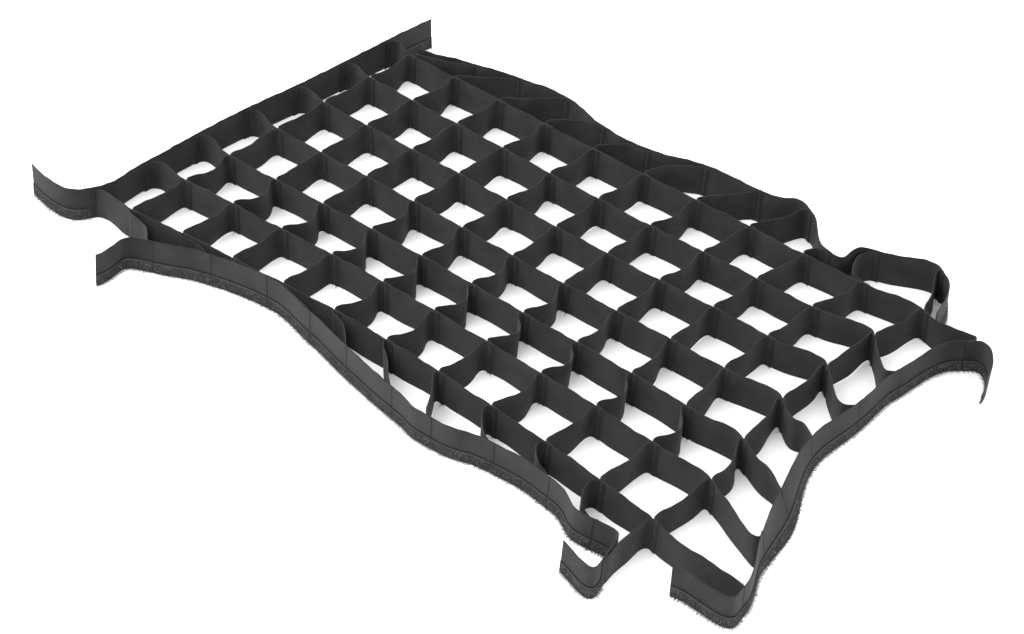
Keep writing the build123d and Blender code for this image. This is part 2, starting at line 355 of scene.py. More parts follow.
def band_route(name):
    """Centre line of a border band, from its first seam to its last."""
    line = BAND_LINE[name[:-5]]
    return np.concatenate(([line[0][0]], through(line), [line[-1][0]]))


def find_centre():
    """The plan's own place of the frame's origin, from the box of one strip in each."""
    low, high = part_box("long_strip_4")
    route = strip_route(4)
    x = (route.real.min() + route.real.max()) / 2 - (low[0] + high[0]) / 2 / MM
    low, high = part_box("cross_webs_6")
    routes = np.concatenate([web_route(6, row) for row in range(ROWS)])
    y = (routes.imag.min() + routes.imag.max()) / 2 - (low[1] + high[1]) / 2 / MM
    return complex(x, y)


CENTRE = find_centre()


# ---- shaping the cloth ---------------------------------------------------------------------
STEP = 1.3  # from one station to the next along a ribbon, in millimetres
FINE = 0.4  # from one point to the next while a route is rounded
SLIDE_OUT = heading(-22)  # the way that a splayed edge slides
SEAM_HOLD = 11  # how far along the cloth a seam still holds it
NIP_REACH, NIP_DEPTH = 0.9, 0.22  # how far and how deep a row of stitches draws the cloth in


def stations(route, marks=()):
    """Points STEP apart along a route, rounded by a bell curve one millimetre wide.

    Each point becomes the weighed mean of its neighbours, and the route is turned about its
    two ends so that they stay put. The places of the marks are added as distances along it.
    """
    run = np.concatenate(([0], np.cumsum(np.abs(np.diff(route)))))
    at = np.linspace(0, run[-1], int(run[-1] / FINE) + 1)
    points = np.interp(at, run, route.real) + 1j * np.interp(at, run, route.imag)
    reach = 6
    bell = np.exp(-(np.arange(-reach, reach + 1) * FINE) ** 2 / 2)
    bell /= bell.sum()
    wide = np.concatenate((2 * points[0] - points[reach:0:-1], points,
                           2 * points[-1] - points[-2:-reach - 2:-1]))
    points = np.convolve(wide, bell, "valid")
    run = np.concatenate(([0], np.cumsum(np.abs(np.diff(points)))))
    marked = [run[np.abs(points - mark).argmin()] for mark in marks]
    at = np.linspace(0, run[-1], int(run[-1] / STEP) + 1)
    places = np.interp(at, run, points.real) + 1j * np.interp(at, run, points.imag)
    ahead = np.gradient(places)
    return places, ahead / np.abs(ahead), at, np.array(marked)


def lean(places):
    """How far the upper edge leans, as slow waves of the place, from -1 to 1 along X and Y."""
    x, y = places.real, places.imag
    return (0.6 * np.sin(x / 97 + y / 210 + 0.4) + 0.4 * np.sin(y / 61 - x / 151)
            + 0.6j * np.sin(y / 83 - x / 260 + 2.0) + 0.4j * np.sin(x / 57 + y / 133))


def lift(places):
    """How far the cloth stands off the surface, as slow waves of the place, from 0 to 1."""
    x, y = places.real, places.imag
    return 0.5 + 0.3 * np.sin(x / 71 - y / 93 + 1.1) + 0.2 * np.sin(x / 29 + y / 41)


def splay(places):
    """How much of the greatest slide a lower edge has out from under its upper one, 0 to 1.

    It is a hill in the plan, a bell curve along the right-hand band and one across it.
    """
    x, y = places.real / CELL, places.imag / CELL
    across = x - 12.35 + 0.31 * (y - 1.6)
    return np.exp(-(np.minimum(across, 0) / 0.5) ** 2) * np.exp(-((y - 2.45) / 0.85) ** 2)


def set_down(places, level, base):
    """Plan places and levels of points on cloth that stands at these places.

    The upper edge leans by slow waves. Where the cloth is splayed its lower edge moves out and
    its upper one comes down, so that its width stays the same.
    """
    kit = bpy.context.scene.grid_webbing
    tall = STRIP_HIGH - STRIP_LOW
    height = (level - base) / tall
    slide = splay(places) * kit.splay / MM
    plan = places + lean(places) * (kit.lean / MM) * (height - 0.15)
    plan = plan + slide * (1 - height) * SLIDE_OUT
    lower = level * np.sqrt(1 - (slide / tall) ** 2)
    return plan, lower + lift(places) * kit.lift / MM


def freedom(at, marked):
    """0 at a seam and 1 well away from it, along a ribbon."""
    if not len(marked):
        return np.ones(len(at))
    near = np.abs(at[:, None] - marked[None, :]).min(axis=1)
    return 1 - np.exp(-(near / SEAM_HOLD) ** 2)


def rectangle(thick, low, high, rows=9):
    """Outline of a ribbon's section: offsets from its middle and levels.

    It goes up the right face, over a rounded upper edge, down the left face and round the lower
    edge. Point k and point -1 - k lie opposite each other.
    """
    r = thick / 2
    level = np.linspace(low + 1.2 * thick, high - 1.2 * thick, rows)
    level = np.concatenate(([low + r], level, [high - r]))
    face = np.full(len(level), -r)
    soft = 0.45 * r
    off = np.concatenate(([-soft], face, [-soft]))
    level = np.concatenate(([low], level, [high]))
    return np.concatenate((off, -off[::-1])), np.concatenate((level, level[::-1]))


class Cloth:
    """Gathers the patches of one mesh: points, faces, surface coordinates and seam marks."""

    def __init__(self):
        self.points, self.faces, self.coords, self.marks = [], [], [], []
        self.count = 0

    def add(self, points, faces, coords, marks):
        """Adds a patch. Its faces are turned if they enclose a negative volume."""
        a, b, c, d = (points[faces[:, k]] for k in range(4))
        volume = (np.cross(b - a, c - a) * a).sum() + (np.cross(c - a, d - a) * a).sum()
        if volume < 0:
            faces = faces[:, ::-1]
        self.points.append(points)
        self.faces.append(faces + self.count)
        self.coords.append(coords)
        self.marks.append(marks)
        self.count += len(points)

    def make(self, name, material):
        """Puts the patches into a mesh, in metres about the frame's origin."""
        points, faces = np.concatenate(self.points), np.concatenate(self.faces)
        points = (points - (CENTRE.real, CENTRE.imag, 0)) * MM
        mesh = bpy.data.meshes.new(name)
        mesh.vertices.add(len(points))
        mesh.vertices.foreach_set("co", points.ravel())
        mesh.loops.add(faces.size)
        mesh.loops.foreach_set("vertex_index", faces.ravel())
        mesh.polygons.add(len(faces))
        mesh.polygons.foreach_set("loop_start", np.arange(0, faces.size, 4))
        mesh.polygons.foreach_set("use_smooth", np.ones(len(faces), bool))
        mesh.update(calc_edges=True)
        layer = mesh.uv_layers.new(name="cloth")
        coords = np.concatenate(self.coords)[faces.ravel()] * MM
        layer.data.foreach_set("uv", coords.ravel())
        # The seam mark is how near a row of stitches the cloth lies; the webbing and tape materials
        # darken by it as painted shade. On hooks it holds each hook's chance tone.
        mark = mesh.attributes.new("seam", "FLOAT", "POINT")
        mark.data.foreach_set("value", np.concatenate(self.marks).astype(np.float32))
        mesh.materials.append(material)
        piece = bpy.data.objects.new(name, mesh)
        bpy.context.collection.objects.link(piece)
        return piece


def grid_faces(n, m, closed):
    """Faces of a grid of n by m points, point (i, j) at i m + j, its rows closed or open."""
    i, j = np.meshgrid(np.arange(n - 1), np.arange(m if closed else m - 1), indexing="ij")
    here, next_j = i * m + j, i * m + (j + 1) % m
    return np.stack((here, next_j, next_j + m, here + m), axis=-1).reshape(-1, 4)


def end_faces(first, m):
    """A ladder of faces across a section of m points that starts at point first."""
    k = np.arange(m // 2 - 1)
    return np.stack((first + k, first + m - 1 - k, first + m - 2 - k, first + k + 1), axis=-1)


def ribbon(cloth, section, line, shift=0.0, rows=(), waver=0.0, seed=0.0, base=0.0, phase=0.0):
    """Carries a section along a line of stations.

    Each point is the place set down at the section's level, plus the left normal times the
    section's offset and a sideways wave. The wave is a sine along the ribbon, opposite at the two
    edges, and dies away at the seams. Near a row of stitches the section is nipped.
    """
    places, ahead, at, marked = line
    off, level = section
    off, level = off[None, :] + shift, level[None, :]
    nip = np.zeros(len(at))
    for row in rows if len(marked) else ():
        near = np.abs(at[:, None] - (marked[None, :] + row)).min(axis=1)
        nip = np.maximum(nip, np.exp(-(near / NIP_REACH) ** 2))
    free = freedom(at, marked)[:, None]
    height = (level - base) / (STRIP_HIGH - STRIP_LOW)
    along = at[:, None]
    wave = np.sin(along / 9.5 + seed) * (height - 0.5) + 0.5 * np.sin(along / 17 + 2 * seed)
    wave = waver * free * wave + 0.10 * np.sin(along / 1.9 + level / 2.7 + seed) * (1 - free)
    squeeze = 1 - NIP_DEPTH * nip[:, None]
    normal = (1j * ahead)[:, None]
    plan, rise = set_down(places[:, None], level, base)
    plan = plan + normal * (off * squeeze + wave)
    edge = 0.35 * np.sin(along / 6.1 + 3 * seed) + 0.25 * np.sin(along / 2.9 + seed)
    points = np.stack((plan.real, plan.imag, rise + edge * free * (height > 0.9)), axis=-1)
    n, m = points.shape[:2]
    faces = np.concatenate((grid_faces(n, m, True), end_faces(0, m),
                            end_faces((n - 1) * m, m)[:, ::-1]))
    coords = np.stack(np.broadcast_arrays(along + phase, level), axis=-1)
    marks = np.broadcast_to(nip[:, None], (n, m))
    cloth.add(points.reshape(-1, 3), faces, coords.reshape(-1, 2), marks.ravel())


def surface_at(line, at, off, level, base):
    """Points that lie on a ribbon, and its three directions there: along, out and up.

    at, off and level are arrays of one value for each point. The lean and the lift are the
    ribbon's own, and the sideways wave is left out because it is nothing at a seam.
    """
    places, ahead, run, _ = line
    here = np.interp(at, run, places.real) + 1j * np.interp(at, run, places.imag)
    way = np.interp(at, run, ahead.real) + 1j * np.interp(at, run, ahead.imag)
    way /= np.abs(way)
    plan, rise = set_down(here, level, base)
    above, higher = set_down(here, level + 1, base)
    points = np.stack(((plan + 1j * way * off).real, (plan + 1j * way * off).imag, rise), axis=-1)
    along = np.stack((way.real, way.imag, np.zeros(len(at))), axis=-1)
    tilt = above - plan
    up = np.stack((tilt.real, tilt.imag, higher - rise), axis=-1)
    out = np.cross(up, along) * np.sign(off)[:, None]
    return points, along, out, up


def hairs(cloth, centre_lines, radius, sides, marks):
    """Small tubes: a ring of points about every point of each centre line, closed at both ends.

    centre_lines has the shape tubes by points by 3, and radius the shape tubes by points. The
    two directions across a tube are square to its own chord.
    """
    tubes, n = centre_lines.shape[:2]
    chord = centre_lines[:, -1] - centre_lines[:, 0]
    chord /= np.linalg.norm(chord, axis=1)[:, None] + 1e-9
    helper = np.where(np.abs(chord[:, 2:]) > 0.8, (1.0, 0.0, 0.0), (0.0, 0.0, 1.0))
    across = np.cross(chord, helper)
    across /= np.linalg.norm(across, axis=1)[:, None]
    other = np.cross(chord, across)
    turn = np.arange(sides) * 2 * pi / sides
    ring = (across[:, None, :] * np.cos(turn)[None, :, None]
            + other[:, None, :] * np.sin(turn)[None, :, None])
    points = centre_lines[:, :, None, :] + ring[:, None, :, :] * radius[:, :, None, None]
    one = grid_faces(n, sides, True)
    if sides == 4:
        last = (n - 1) * 4
        one = np.concatenate((one, [[3, 2, 1, 0]], [[last, last + 1, last + 2, last + 3]]))
    faces = one[None] + (np.arange(tubes) * n * sides)[:, None, None]
    coords = np.zeros((tubes, n, sides, 2))
    coords[..., 0] = np.arange(tubes)[:, None, None] * 3.7
    coords[..., 1] = np.linspace(0, 3, n)[None, :, None]
    tone = np.broadcast_to(marks[:, None, None], (tubes, n, sides))
    cloth.add(points.reshape(-1, 3), faces.reshape(-1, 4), coords.reshape(-1, 2), tone.ravel())


def stitches(cloth, points, run, out, span):
    """One stitch at each point, as long as span along run.

    Its centre line leaves the cloth, arches over half a thread's thickness and goes back in: the
    height over the cloth is a half sine, less a little at both ends.
    """
    sew = bpy.context.scene.grid_sewing
    r = sew.thick / MM / 2
    t = np.linspace(0, 1, 5)
    rise = r * (1.3 * np.sin(pi * t) - 0.75)
    lines = (points[:, None, :] + run[:, None, :] * ((t - 0.5) * span)[None, :, None]
             + out[:, None, :] * rise[None, :, None])
    radius = np.broadcast_to(r * (0.55 + 0.45 * np.sin(pi * t)), (len(points), len(t)))
    hairs(cloth, lines, radius, 4, np.full(len(points), 0.5))


def seam_rows(cloth, line, offsets, rows, low, high, base):
    """Upright rows of stitches at every mark of a line, on faces at these offsets."""
    sew = bpy.context.scene.grid_sewing
    pitch = sew.stitch / MM
    marked = line[3]
    levels = np.arange(low + pitch / 2, high, pitch)
    for off in offsets:
        for row in rows:
            at, level = np.meshgrid(marked + row, levels, indexing="ij")
            at, level = at.ravel(), level.ravel()
            at = at + 0.18 * np.sin(level * 1.7 + at)
            points, _, out, up = surface_at(line, at, np.full(len(at), off), level, base)
            stitches(cloth, points, up, out, 0.86 * pitch)


def loose_ends(cloth, line, offset, rows, levels, base, count, seed):
    """Cut ends of thread that stick out of the top and bottom of a seam at chance angles."""
    dice = np.random.default_rng(seed)
    marked = line[3]
    if not len(marked) or not count:
        return
    at = np.repeat(marked, count) + dice.choice(rows, len(marked) * count)
    level = dice.choice(levels, len(at), p=[0.75, 0.25] if len(levels) == 2 else None)
    off = np.full(len(at), offset) * dice.choice([-1, 1], len(at))
    points, along, out, up = surface_at(line, at, off, level, base)
    down = np.where(level < 20, -0.35, 1.0)[:, None]
    way = (up * down * dice.uniform(0.2, 1.0, (len(at), 1))
           + out * dice.uniform(0.1, 1.0, (len(at), 1))
           + along * dice.uniform(-0.8, 0.8, (len(at), 1)))
    way /= np.linalg.norm(way, axis=1)[:, None]
    reach = dice.uniform(1.5, 4.5, len(at))[:, None, None]
    t = np.linspace(0, 1, 5)[None, :, None]
    curl = dice.normal(0, 0.35, (len(at), 1, 3))
    lines = points[:, None, :] + (way[:, None, :] * t + curl * t * t) * reach
    lines[..., 2] = np.maximum(lines[..., 2], 0.3)
    radius = np.broadcast_to(np.linspace(0.32, 0.18, 5), (len(at), 5))
    hairs(cloth, lines, radius, 4, np.full(len(at), 0.6))


# ---- materials -----------------------------------------------------------------------------
MATH, MIX, RAMP, BUMP = "ShaderNodeMath", "ShaderNodeMix", "ShaderNodeValToRGB", "ShaderNodeBump"
NOISE, WAVE = "ShaderNodeTexNoise", "ShaderNodeTexWave"
PRINCIPLED, OUTPUT = "ShaderNodeBsdfPrincipled", "ShaderNodeOutputMaterial"
# Painted shade: the colour that cloth is darkened towards where a row of stitches draws it in.
PAINTED_SEAM_SHADE = srgb("08080a")


def node(tree, kind, inputs=None, out=0, stops=(), **settings):
    """Adds a node with its settings, sets or links its inputs, and gives one of its outputs.

    Inputs and the output go by name or number. stops are the positions and linear colours of a
    colour ramp, two or more.
    """
    made = tree.nodes.new(kind)
    for key, value in settings.items():
        setattr(made, key, value)
    for key, value in (inputs or {}).items():
        socket = made.inputs[key]
        if isinstance(value, bpy.types.NodeSocket):
            tree.links.new(value, socket)
        else:
            socket.default_value = (*value, 1.0) if socket.type == "RGBA" else value
    for _ in stops[2:]:
        made.color_ramp.elements.new(0.5)
    for k, (place, tone) in enumerate(stops):
        made.color_ramp.elements[k].position = place
        made.color_ramp.elements[k].color = (*tone, 1.0)
    return made.outputs[out] if made.outputs else made


def new_material(name):
    """An empty node material and its node tree."""
    material = bpy.data.materials.new(name)
    material.use_nodes = True
    material.node_tree.nodes.clear()
    return material, material.node_tree


def grey(tone):
    """A grey of that linear value."""
    return (tone, tone, tone)


def wave_scale(spacing):
    """A Wave texture's scale for bands that far apart: its period is 2 pi / (20 x scale)."""
    return 2 * pi / (20 * spacing)


def twill_webbing():
    """Woven nylon twill: diagonal ribs at 45 degrees, with dull yarn that scatters light softly.

    The real ribs are about a millimetre apart. They are drawn 1.9 mm apart, the finest that
    still shows in the render. A broad sheen stands for the fine hairs of the yarn.
    """
    kit = bpy.context.scene.grid_webbing
    material, tree = new_material("nylon_twill_webbing")
    cloth = node(tree, "ShaderNodeUVMap", uv_map="cloth")
    turned = node(tree, "ShaderNodeMapping", {0: cloth, "Rotation": (0, 0, radians(-45))})
    ribs = node(tree, WAVE, {"Vector": turned, "Scale": wave_scale(kit.rib), "Distortion": 0.7,
                             "Detail": 2.0, "Detail Scale": 1.5}, "Fac")
    # Single picks across each rib, drawn 1.2 mm apart, twice as coarse as they are.
    picks = node(tree, WAVE, {"Vector": cloth, "Scale": wave_scale(0.0012), "Distortion": 0.4,
                              "Detail": 1.0}, "Fac")
    ribs = node(tree, MATH, {0: ribs, 1: 0.8}, operation="MULTIPLY")
    picks = node(tree, MATH, {0: picks, 1: 0.25}, operation="MULTIPLY")
    weave = node(tree, MATH, {0: ribs, 1: picks}, operation="ADD")
    # Cloudy wear 30 mm across, yarn flecks about a millimetre across, and specks of lint.
    clouds = node(tree, NOISE, {"Vector": cloth, "Scale": 34.0, "Detail": 3.0}, "Fac")
    fleck = node(tree, NOISE, {"Vector": cloth, "Scale": 900.0, "Detail": 2.0}, "Fac")
    lint = node(tree, NOISE, {"Vector": cloth, "Scale": 420.0, "Detail": 4.0,
                              "Roughness": 0.7}, "Fac")
    tone = node(tree, RAMP, {0: weave}, stops=[(0.12, kit.groove), (0.85, kit.face)])
    worn = node(tree, RAMP, {0: clouds}, stops=[(0.30, grey(0.6)), (0.70, grey(1.4))])
    tone = node(tree, MIX, {0: 1.0, 6: tone, 7: worn}, 2, data_type="RGBA", blend_type="MULTIPLY")
    specks = node(tree, RAMP, {0: fleck}, stops=[(0.35, grey(0.8)), (0.66, grey(1.3))])
    tone = node(tree, MIX, {0: 0.8, 6: tone, 7: specks}, 2, data_type="RGBA", blend_type="MULTIPLY")
    lint = node(tree, RAMP, {0: lint}, stops=[(0.66, grey(0.0)), (0.74, grey(1.0))])
    lint = node(tree, MATH, {0: lint, 1: 0.35}, operation="MULTIPLY")
    tone = node(tree, MIX, {0: lint, 6: tone, 7: kit.lint}, 2, data_type="RGBA")
    # Painted shade: cloth drawn in by a row of stitches lies in its own shade, so its colour is
    # darkened there by the seam mark.
    seam = node(tree, "ShaderNodeAttribute", out="Fac", attribute_name="seam")
    shade = node(tree, MATH, {0: seam, 1: 0.6}, operation="MULTIPLY")
    tone = node(tree, MIX, {0: shade, 6: tone, 7: PAINTED_SEAM_SHADE}, 2, data_type="RGBA")
    rough = node(tree, MATH, {0: clouds, 1: 0.25}, operation="MULTIPLY")
    rough = node(tree, MATH, {0: rough, 1: 0.55}, operation="ADD")
    sunk = node(tree, MATH, {0: seam, 1: 0.8}, operation="MULTIPLY")
    height = node(tree, MATH, {0: weave, 1: sunk}, operation="SUBTRACT")
    bump = node(tree, BUMP, {"Height": height, "Strength": 0.9, "Distance": 0.0006})
    shader = node(tree, PRINCIPLED, {
        "Base Color": tone, "Roughness": rough, "Specular IOR Level": 0.14, "Sheen Weight": 0.05,
        "Sheen Roughness": 0.45, "Normal": bump})
    node(tree, OUTPUT, {"Surface": shader})
    return material


def hook_backing():
    """Woven nylon backing of a hook tape: plain weave, tighter and duller than the webbing."""
    kit = bpy.context.scene.grid_tape
    material, tree = new_material("hook_tape_backing")
    cloth = node(tree, "ShaderNodeUVMap", uv_map="cloth")
    # Rows of loops are woven in 1.9 mm apart.
    knots = node(tree, "ShaderNodeTexVoronoi", {"Vector": cloth, "Scale": 520.0}, "Distance")
    clouds = node(tree, NOISE, {"Vector": cloth, "Scale": 60.0, "Detail": 3.0}, "Fac")
    tone = node(tree, RAMP, {0: knots}, stops=[(0.1, kit.backing), (0.7, grey(0.012))])
    worn = node(tree, RAMP, {0: clouds}, stops=[(0.3, grey(0.7)), (0.7, grey(1.3))])
    tone = node(tree, MIX, {0: 1.0, 6: tone, 7: worn}, 2, data_type="RGBA", blend_type="MULTIPLY")
    level = node(tree, "ShaderNodeSeparateXYZ", {0: cloth}, "Y")
    # Painted light: the upper selvedge, pressed smooth, is painted as a thin pale line where it
    # catches the light (painted highlight), and above it, where the row of stitches lies, a dark line
    # is painted for the shade of its groove (painted shade).
    edge = node(tree, MATH, {0: level, 1: (TAPE_HIGH - 2.6) * MM}, operation="GREATER_THAN")
    edge = node(tree, MATH, {0: edge, 1: 0.6}, operation="MULTIPLY")
    tone = node(tree, MIX, {0: edge, 6: tone, 7: srgb("4a4a4c")}, 2, data_type="RGBA")
    groove = node(tree, MATH, {0: level, 1: (TAPE_HIGH - 1.9) * MM}, operation="GREATER_THAN")
    tone = node(tree, MIX, {0: groove, 6: tone, 7: srgb("0c0c0d")}, 2, data_type="RGBA")
    # Painted shade: the backing is darkened where a row of stitches draws it in and it lies in its own
    # shade.
    seam = node(tree, "ShaderNodeAttribute", out="Fac", attribute_name="seam")
    shade = node(tree, MATH, {0: seam, 1: 0.7}, operation="MULTIPLY")
    tone = node(tree, MIX, {0: shade, 6: tone, 7: PAINTED_SEAM_SHADE}, 2, data_type="RGBA")
    bump = node(tree, BUMP, {"Height": knots, "Strength": 0.6, "Distance": 0.0004}, invert=True)
    shader = node(tree, PRINCIPLED, {
        "Base Color": tone, "Roughness": 0.8, "Specular IOR Level": 0.25, "Normal": bump})
    node(tree, OUTPUT, {"Surface": shader})
    return material


def hook_plastic():
    """Nylon monofilament hooks: stiff and slightly glossy, each of a chance tone from dark to pale."""
    kit = bpy.context.scene.grid_tape
    material, tree = new_material("nylon_hooks")
    shade = node(tree, "ShaderNodeAttribute", out="Fac", attribute_name="seam")
    tone = node(tree, RAMP, {0: shade}, stops=[
        (0.0, srgb("141415")), (0.6, srgb("2c2c2d")), (1.0, kit.hooks)])
    shader = node(tree, PRINCIPLED, {
        "Base Color": tone, "Roughness": 0.45, "Specular IOR Level": 0.5})
    node(tree, OUTPUT, {"Surface": shader})
    return material


def sewing_thread():
    """Spun polyester thread: two plies twisted together, matt, with a darker line between them."""
    kit = bpy.context.scene.grid_sewing
    material, tree = new_material("polyester_thread")
    cloth = node(tree, "ShaderNodeUVMap", uv_map="cloth")
    plies = node(tree, WAVE, {"Vector": cloth, "Scale": wave_scale(0.001), "Distortion": 1.0},
                 "Fac", bands_direction="DIAGONAL")
    tone = node(tree, RAMP, {0: plies}, stops=[(0.1, srgb("09090a")), (0.8, kit.thread)])
    shader = node(tree, PRINCIPLED, {
        "Base Color": tone, "Roughness": 0.75, "Specular IOR Level": 0.3})
    node(tree, OUTPUT, {"Surface": shader})
    return material


def paper_floor():
    """Seamless white background paper: matt, very slightly uneven."""
    kit = bpy.context.scene.grid_stage
    material, tree = new_material("white_background_paper")
    place = node(tree, "ShaderNodeTexCoord", out="Object")
    grain = node(tree, NOISE, {"Vector": place, "Scale": 2.0, "Detail": 2.0}, "Fac")
    duller = tuple(0.985 * part for part in kit.floor)
    tone = node(tree, RAMP, {0: grain}, stops=[(0.3, duller), (0.7, kit.floor)])
    shader = node(tree, PRINCIPLED, {
        "Base Color": tone, "Roughness": 0.95, "Specular IOR Level": 0.1})
    node(tree, OUTPUT, {"Surface": shader})
    return material


def finish_named(name, maker):
    """The material of that name, made by maker the first time."""
    return bpy.data.materials.get(name) or maker()


# ---- pieces --------------------------------------------------------------------------------
def strip_line(row):
    """Stations of a long strip, marked at its crossings and at its two end seams."""
    marks = [place for place, _ in CROSSINGS[row]]
    ends = [BAND_LINE["left"][row - 1][0], BAND_LINE["right"][row - 1][0]]
    return stations(strip_route(row), ends[:1] + marks + ends[1:])


def band_line(name):
    """Stations of a band, marked at its seams."""
    return stations(band_route(name), [place for place, _ in BAND_LINE[name[:-5]]])


class GRID_OT_long_strips(bpy.types.Operator):
    """Weaves the seven long strips"""
    bl_idname = "grid.long_strips"
    bl_label = "Long strips"

    def execute(self, context):
        kit, sew = context.scene.grid_webbing, context.scene.grid_sewing
        material = finish_named("nylon_twill_webbing", twill_webbing)
        row_off = sew.row / MM
        for row in range(1, ROWS):
            line = strip_line(row)
            cloth = Cloth()
            section = rectangle(kit.thick / MM, STRIP_LOW, STRIP_HIGH)
            ribbon(cloth, section, line, rows=(-row_off, row_off), waver=kit.ripple / MM,
                   seed=row * 1.7, phase=137.0 * row)
            piece = cloth.make(f"long_strip_{row}_webbing", material)
            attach(piece, "grid")
            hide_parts(f"long_strip_{row}")
        return {"FINISHED"}


class GRID_OT_cross_webs(bpy.types.Operator):
    """Weaves the cross webs, one piece for each line of them"""
    bl_idname = "grid.cross_webs"
    bl_label = "Cross webs"

    def execute(self, context):
        kit, sew = context.scene.grid_webbing, context.scene.grid_sewing
        material = finish_named("nylon_twill_webbing", twill_webbing)
        row_off = sew.row / MM
        for column in range(1, COLUMNS):
            cloth, total = Cloth(), 0.0
            for row in range(ROWS):
                ends = web_ends(column, row)
                line = stations(web_route(column, row), [place for place, _ in ends])
                seed = 0.9 * column + 2.3 * row
                low = STRIP_LOW + 0.25 * np.sin(3 * seed)
                section = rectangle(kit.thick / MM, low, low + STRIP_HIGH - STRIP_LOW)
                ribbon(cloth, section, line, rows=(-row_off, row_off), waver=1.5 * kit.ripple / MM,
                       seed=seed, phase=61.0 * column + 211.0 * row)
                total += line[2][-1]
            piece = cloth.make(f"cross_webs_{column}_webbing", material)
            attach(piece, "grid")
            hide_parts(f"cross_webs_{column}")
        return {"FINISHED"}


def hooks_on(line, side, low, high, seed, base):
    """Hooks of a tape: short tapered hairs that lean over, each with a chance tone.

    They stand in rows. Each is a curve from the backing outwards that bends along and down, by
    the square of the distance from its root. Those of the lowest row are longer, straighter and
    thicker.
    """
    kit, web = bpy.context.scene.grid_tape, bpy.context.scene.grid_webbing
    dice = np.random.default_rng(seed)
    pitch = kit.pitch / MM
    face = web.thick / MM / 2 + kit.thick / MM
    run = line[2][-1]
    at, level = np.meshgrid(np.arange(TAPE_GAP, run - 0.5, pitch), np.arange(low, high, pitch * 0.8),
                            indexing="ij")
    at = at.ravel() + dice.normal(0, 0.22, at.size)
    level = level.ravel() + dice.normal(0, 0.25, at.size)
    keep = (at > 0.3) & (at < run - 0.3)
    at, level = at[keep], np.maximum(level[keep], low - 0.4)
    points, along, out, up = surface_at(line, at, np.full(len(at), side * face), level, base)
    lowest = level < low + 0.5
    tall = np.where(lowest, kit.fringe, kit.hook) / MM * dice.uniform(0.7, 1.35, len(at))
    t = np.linspace(0, 1, 4)[None, :, None]
    sway = (dice.normal(0, 0.5, len(at)) * np.where(lowest, 0.5, 1.0))[:, None, None]
    droop = (dice.uniform(-0.9, 0.3, len(at)) * np.where(lowest, 0.6, 1.0))[:, None, None]
    lines = points[:, None, :] + tall[:, None, None] * (
        out[:, None, :] * t + along[:, None, :] * sway * t * t + up[:, None, :] * droop * t * t)
    lines[..., 2] = np.maximum(lines[..., 2], 0.15)
    radius = np.array([0.30, 0.34, 0.30, 0.16]) * np.where(lowest, 1.15, 1.0)[:, None]
    cloth = Cloth()
    hairs(cloth, lines, radius, 4, dice.uniform(0, 1, len(at)) ** 1.6)
    return cloth


def tape_seam(cloth, line, side, seed):
    """The row of stitches along a tape's upper edge, wandering by under a millimetre."""
    sew, kit, web = (bpy.context.scene.grid_sewing, bpy.context.scene.grid_tape,
                     bpy.context.scene.grid_webbing)
    pitch = sew.stitch / MM
    at = np.arange(TAPE_GAP + 1, line[2][-1] - 1, pitch)
    level = TAPE_HIGH - 0.8 + 0.3 * np.sin(at / 21 + seed) + 0.2 * np.sin(at / 7.3)
    face = web.thick / MM / 2 + kit.thick / MM
    points, along, out, _ = surface_at(line, at, np.full(len(at), side * face), level, BAND_LOW)
    stitches(cloth, points, along, out, 0.9 * pitch)


def border_length(name, line):
    """Builds the webbing, tape, hooks and sewing of one band or one tail."""
    kit, tape = bpy.context.scene.grid_webbing, bpy.context.scene.grid_tape
    side = outer_side(name)
    half = kit.thick / MM / 2
    seed = 1.3 * len(name) + sum(map(ord, name)) % 17
    webbing = finish_named("nylon_twill_webbing", twill_webbing)
    backing = finish_named("hook_tape_backing", hook_backing)
    hook = finish_named("nylon_hooks", hook_plastic)
    thread = finish_named("polyester_thread", sewing_thread)
    cloth = Cloth()
    section = rectangle(kit.thick / MM, BAND_LOW, BAND_HIGH)
    ribbon(cloth, section, line, rows=(0.0,), seed=seed, base=BAND_LOW, phase=300 + 10 * seed)
    pieces = [cloth.make(f"{name}_webbing", webbing)]
    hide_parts(name)
    cloth = Cloth()
    thick = tape.thick / MM
    section = rectangle(thick, TAPE_LOW, TAPE_HIGH, 6)
    ribbon(cloth, section, line, shift=side * (half + thick / 2), rows=(0.0,), base=BAND_LOW,
           phase=90 * seed)
    pieces.append(cloth.make(f"{name}_tape", backing))
    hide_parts(f"{name}_hook_tape")
    hooks = hooks_on(line, side, TAPE_LOW + 0.8, TAPE_HIGH - 3.4, int(seed * 10), BAND_LOW)
    pieces.append(hooks.make(f"{name}_hooks", hook))
    sewing = Cloth()
    tape_seam(sewing, line, side, seed)
    if name in BANDS:
        sew = bpy.context.scene.grid_sewing
        row = sew.row / MM
        seam_rows(sewing, line, (side * (half + 0.05),), (0.0,), TAPE_HIGH + 0.5,
                  BAND_HIGH - 1.5, BAND_LOW)
        seam_rows(sewing, line, (side * (half + thick + 0.15),), (0.0,), TAPE_LOW + 1.5,
                  TAPE_HIGH - 2.5, BAND_LOW)
        seam_rows(sewing, line, (-side * 3 * half,), (-row, row), BAND_LOW + 1.5,
                  BAND_HIGH - 4.0, BAND_LOW)
        loose_ends(sewing, line, half, [-0.5, 0.5], [BAND_LOW + 1, BAND_HIGH - 1], BAND_LOW, 2,
                   int(seed * 7))
    pieces.append(sewing.make(f"{name}_sewing", thread))
    return pieces


class GRID_OT_bands(bpy.types.Operator):
    """Makes the four border bands with their hook tape and seams"""
    bl_idname = "grid.bands"
    bl_label = "Border bands"

    def execute(self, context):
        for name in BANDS:
            pieces = border_length(name, band_line(name))
            for piece in pieces:
                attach(piece, "grid")
            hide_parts(f"{name}_stitching")
        return {"FINISHED"}


